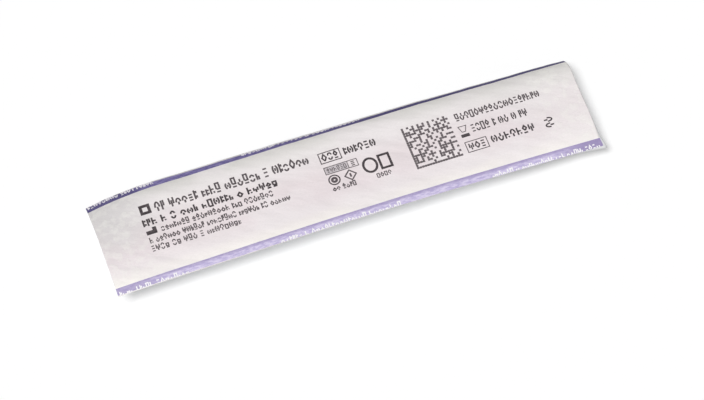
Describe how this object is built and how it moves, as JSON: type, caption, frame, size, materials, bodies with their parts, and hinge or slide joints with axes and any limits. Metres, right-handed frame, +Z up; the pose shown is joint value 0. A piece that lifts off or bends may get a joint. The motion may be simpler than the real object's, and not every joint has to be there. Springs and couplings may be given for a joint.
{
  "type": "sealed blunt filter needle pack",
  "caption": "Long narrow sealed peel pack with a bowed paper lid over a formed film pocket, for one sterile shielded needle.",
  "frame": {"origin": "under the middle of the pack's bounding box, at the height of the pocket floor that it lies on", "axes": "+X along the pack towards the peel tab, +Y across the pack towards the darker printed edge, +Z up out of the paper lid"},
  "size_m": [0.1124, 0.0246, 0.0084],
  "materials": {
    "lid_paper": "matt medical paper",
    "pocket_film": "formed film, milky and glossy",
    "violet_print": "matt violet ink on paper",
    "indigo_print": "matt dark violet ink on paper",
    "grey_print": "matt dark grey ink on paper"
  },
  "bodies": {
    "root": {"sealed_pack": "lid_paper"}
  },
  "joints": []
}
